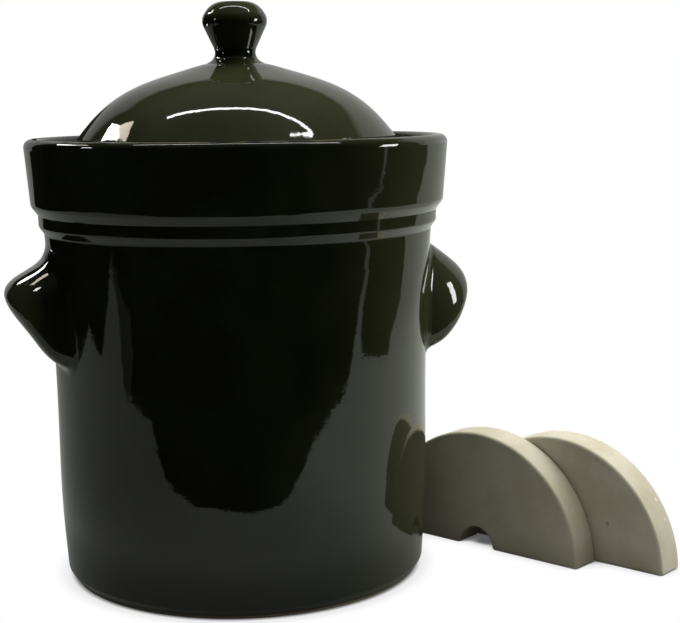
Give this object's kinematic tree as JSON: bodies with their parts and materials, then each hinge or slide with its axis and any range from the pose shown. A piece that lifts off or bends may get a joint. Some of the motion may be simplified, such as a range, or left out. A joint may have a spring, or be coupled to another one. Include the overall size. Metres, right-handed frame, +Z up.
{
  "type": "water seal pickle jar",
  "caption": "Glazed stoneware crock whose water-filled rim channel seals a domed lid, with lug handles and half-moon weight stones beside it.",
  "frame": {"origin": "centre of the crock's foot, on the worktop", "axes": "+Z up along the crock's axis, +X through the right-hand lug handle, -Y towards the viewer"},
  "size_m": [0.4386, 0.2856, 0.3886],
  "materials": {
    "dark_glaze": "gloss",
    "bare_stoneware": "matte"
  },
  "bodies": {
    "crock": {"jar_body": "dark_glaze", "water_collar": "dark_glaze", "handle_left": "dark_glaze", "handle_right": "dark_glaze"},
    "lid": {"lid": "dark_glaze", "lid_knob": "dark_glaze"},
    "front_stone": {"weight_stone_front": "bare_stoneware"},
    "back_stone": {"weight_stone_back": "bare_stoneware"}
  },
  "joints": [
    {"name": "lid_lift", "type": "slide", "parent": "crock", "child": "lid", "axis": [0, 0, 1], "range_m": [0, 0.16]},
    {"name": "front_stone_draw", "type": "slide", "parent": "crock", "child": "front_stone", "axis": [0.5417, -0.8406, 0], "range_m": [0, 0.12]},
    {"name": "back_stone_draw", "type": "slide", "parent": "crock", "child": "back_stone", "axis": [0.5417, -0.8406, 0], "range_m": [0, 0.12]}
  ]
}
